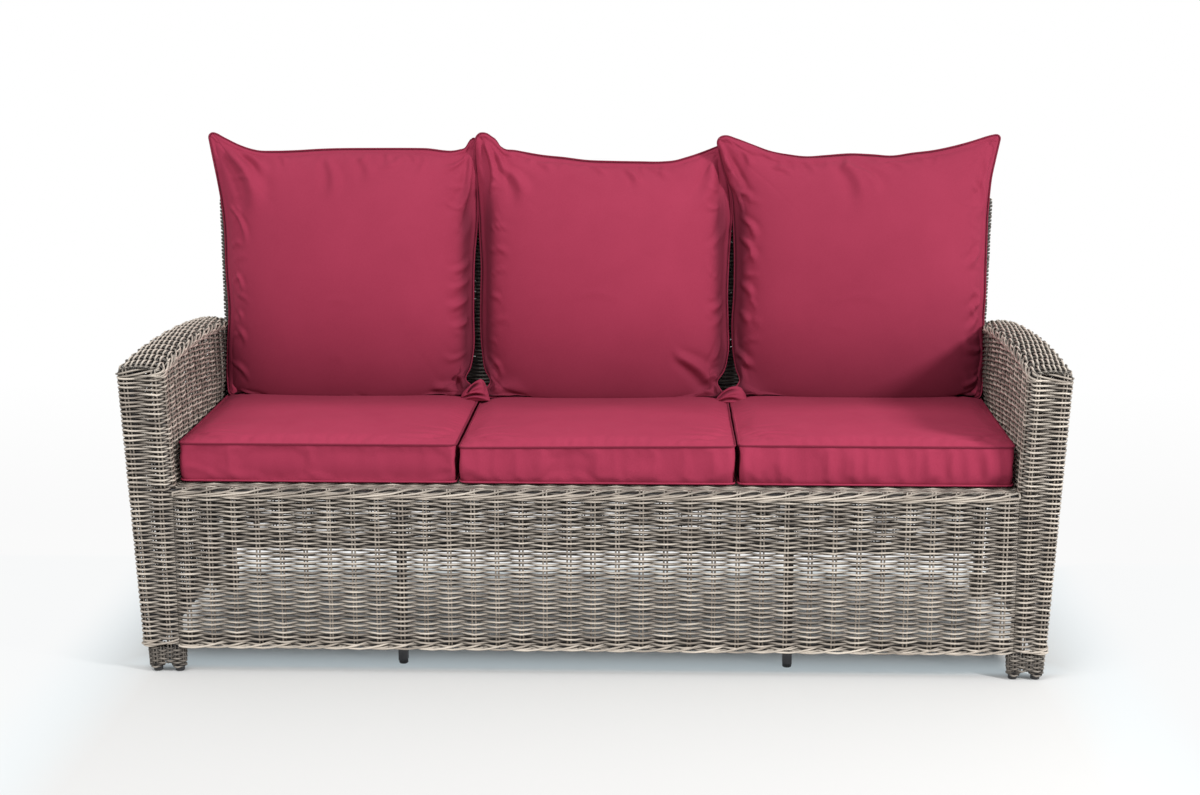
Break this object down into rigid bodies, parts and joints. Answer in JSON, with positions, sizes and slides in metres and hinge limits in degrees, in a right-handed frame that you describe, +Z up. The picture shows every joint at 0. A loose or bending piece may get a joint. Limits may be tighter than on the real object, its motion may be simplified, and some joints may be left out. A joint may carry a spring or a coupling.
{
  "type": "garden sofa",
  "caption": "Woven rattan-look garden sofa with arched arms, a leaning back, an open-grained woven skirt and loose piped seat and back cushions.",
  "frame": {"origin": "on the ground under the middle of the bounding box", "axes": "+X along the seat to the right as seen from the front, +Y to the rear, +Z up"},
  "size_m": [2, 0.7654, 1.1249],
  "materials": {
    "weave": "satin mottled grey-brown plastic strand",
    "frame": "satin powder coat, dark grey",
    "glide": "matte black",
    "fabric": "matte woven polyester, crimson"
  },
  "bodies": {
    "frame": {"arm_top_rail_inner_left": "frame", "arm_top_rail_inner_right": "frame", "arm_top_rail_outer_left": "frame", "arm_top_rail_outer_right": "frame", "arm_weave_left": "weave", "arm_weave_right": "weave", "back_lower_rail": "frame", "back_post_left": "frame", "back_post_right": "frame", "back_top_rail": "frame", "back_upright_left": "frame", "back_upright_right": "frame", "back_weave": "weave", "front_foot_wrap_left": "weave", "front_foot_wrap_right": "weave", "front_inner_glide_left": "glide", "front_inner_glide_right": "glide", "front_inner_post_left": "frame", "front_inner_post_right": "frame", "front_outer_glide_left": "glide", "front_outer_glide_right": "glide", "front_outer_post_left": "frame", "front_outer_post_right": "frame", "front_rail_bottom": "frame", "front_rail_top": "frame", "front_skirt_weave": "weave", "middle_glide_left": "glide", "middle_glide_right": "glide", "middle_leg_left": "frame", "middle_leg_right": "frame", "rear_foot_wrap_left": "weave", "rear_foot_wrap_right": "weave", "rear_inner_glide_left": "glide", "rear_inner_glide_right": "glide", "rear_inner_post_left": "frame", "rear_inner_post_right": "frame", "rear_outer_glide_left": "glide", "rear_outer_glide_right": "glide", "rear_outer_post_left": "frame", "rear_outer_post_right": "frame", "rear_rail_bottom": "frame", "rear_rail_top": "frame", "rear_skirt_weave": "weave", "seat_cross_bar_left": "frame", "seat_cross_bar_middle": "frame", "seat_cross_bar_right": "frame", "seat_deck_weave": "weave", "seat_side_rail_left": "frame", "seat_side_rail_right": "frame", "side_rail_bottom_left": "frame", "side_rail_bottom_right": "frame", "side_skirt_weave_left": "weave", "side_skirt_weave_right": "weave"},
    "seat_left": {"seat_cushion_left": "fabric"},
    "pillow_left": {"back_pillow_left": "fabric"},
    "seat_middle": {"seat_cushion_middle": "fabric"},
    "pillow_middle": {"back_pillow_middle": "fabric"},
    "seat_right": {"seat_cushion_right": "fabric"},
    "pillow_right": {"back_pillow_right": "fabric"}
  },
  "joints": [
    {"name": "seat_left_lift", "type": "slide", "parent": "frame", "child": "seat_left", "axis": [0, 0, 1], "range_m": [0, 0.3]},
    {"name": "pillow_left_lift", "type": "slide", "parent": "seat_left", "child": "pillow_left", "axis": [0, 0, 1], "range_m": [0, 0.48]},
    {"name": "seat_middle_lift", "type": "slide", "parent": "frame", "child": "seat_middle", "axis": [0, 0, 1], "range_m": [0, 0.3]},
    {"name": "pillow_middle_lift", "type": "slide", "parent": "seat_middle", "child": "pillow_middle", "axis": [0, 0, 1], "range_m": [0, 0.48]},
    {"name": "seat_right_lift", "type": "slide", "parent": "frame", "child": "seat_right", "axis": [0, 0, 1], "range_m": [0, 0.3]},
    {"name": "pillow_right_lift", "type": "slide", "parent": "seat_right", "child": "pillow_right", "axis": [0, 0, 1], "range_m": [0, 0.48]}
  ]
}
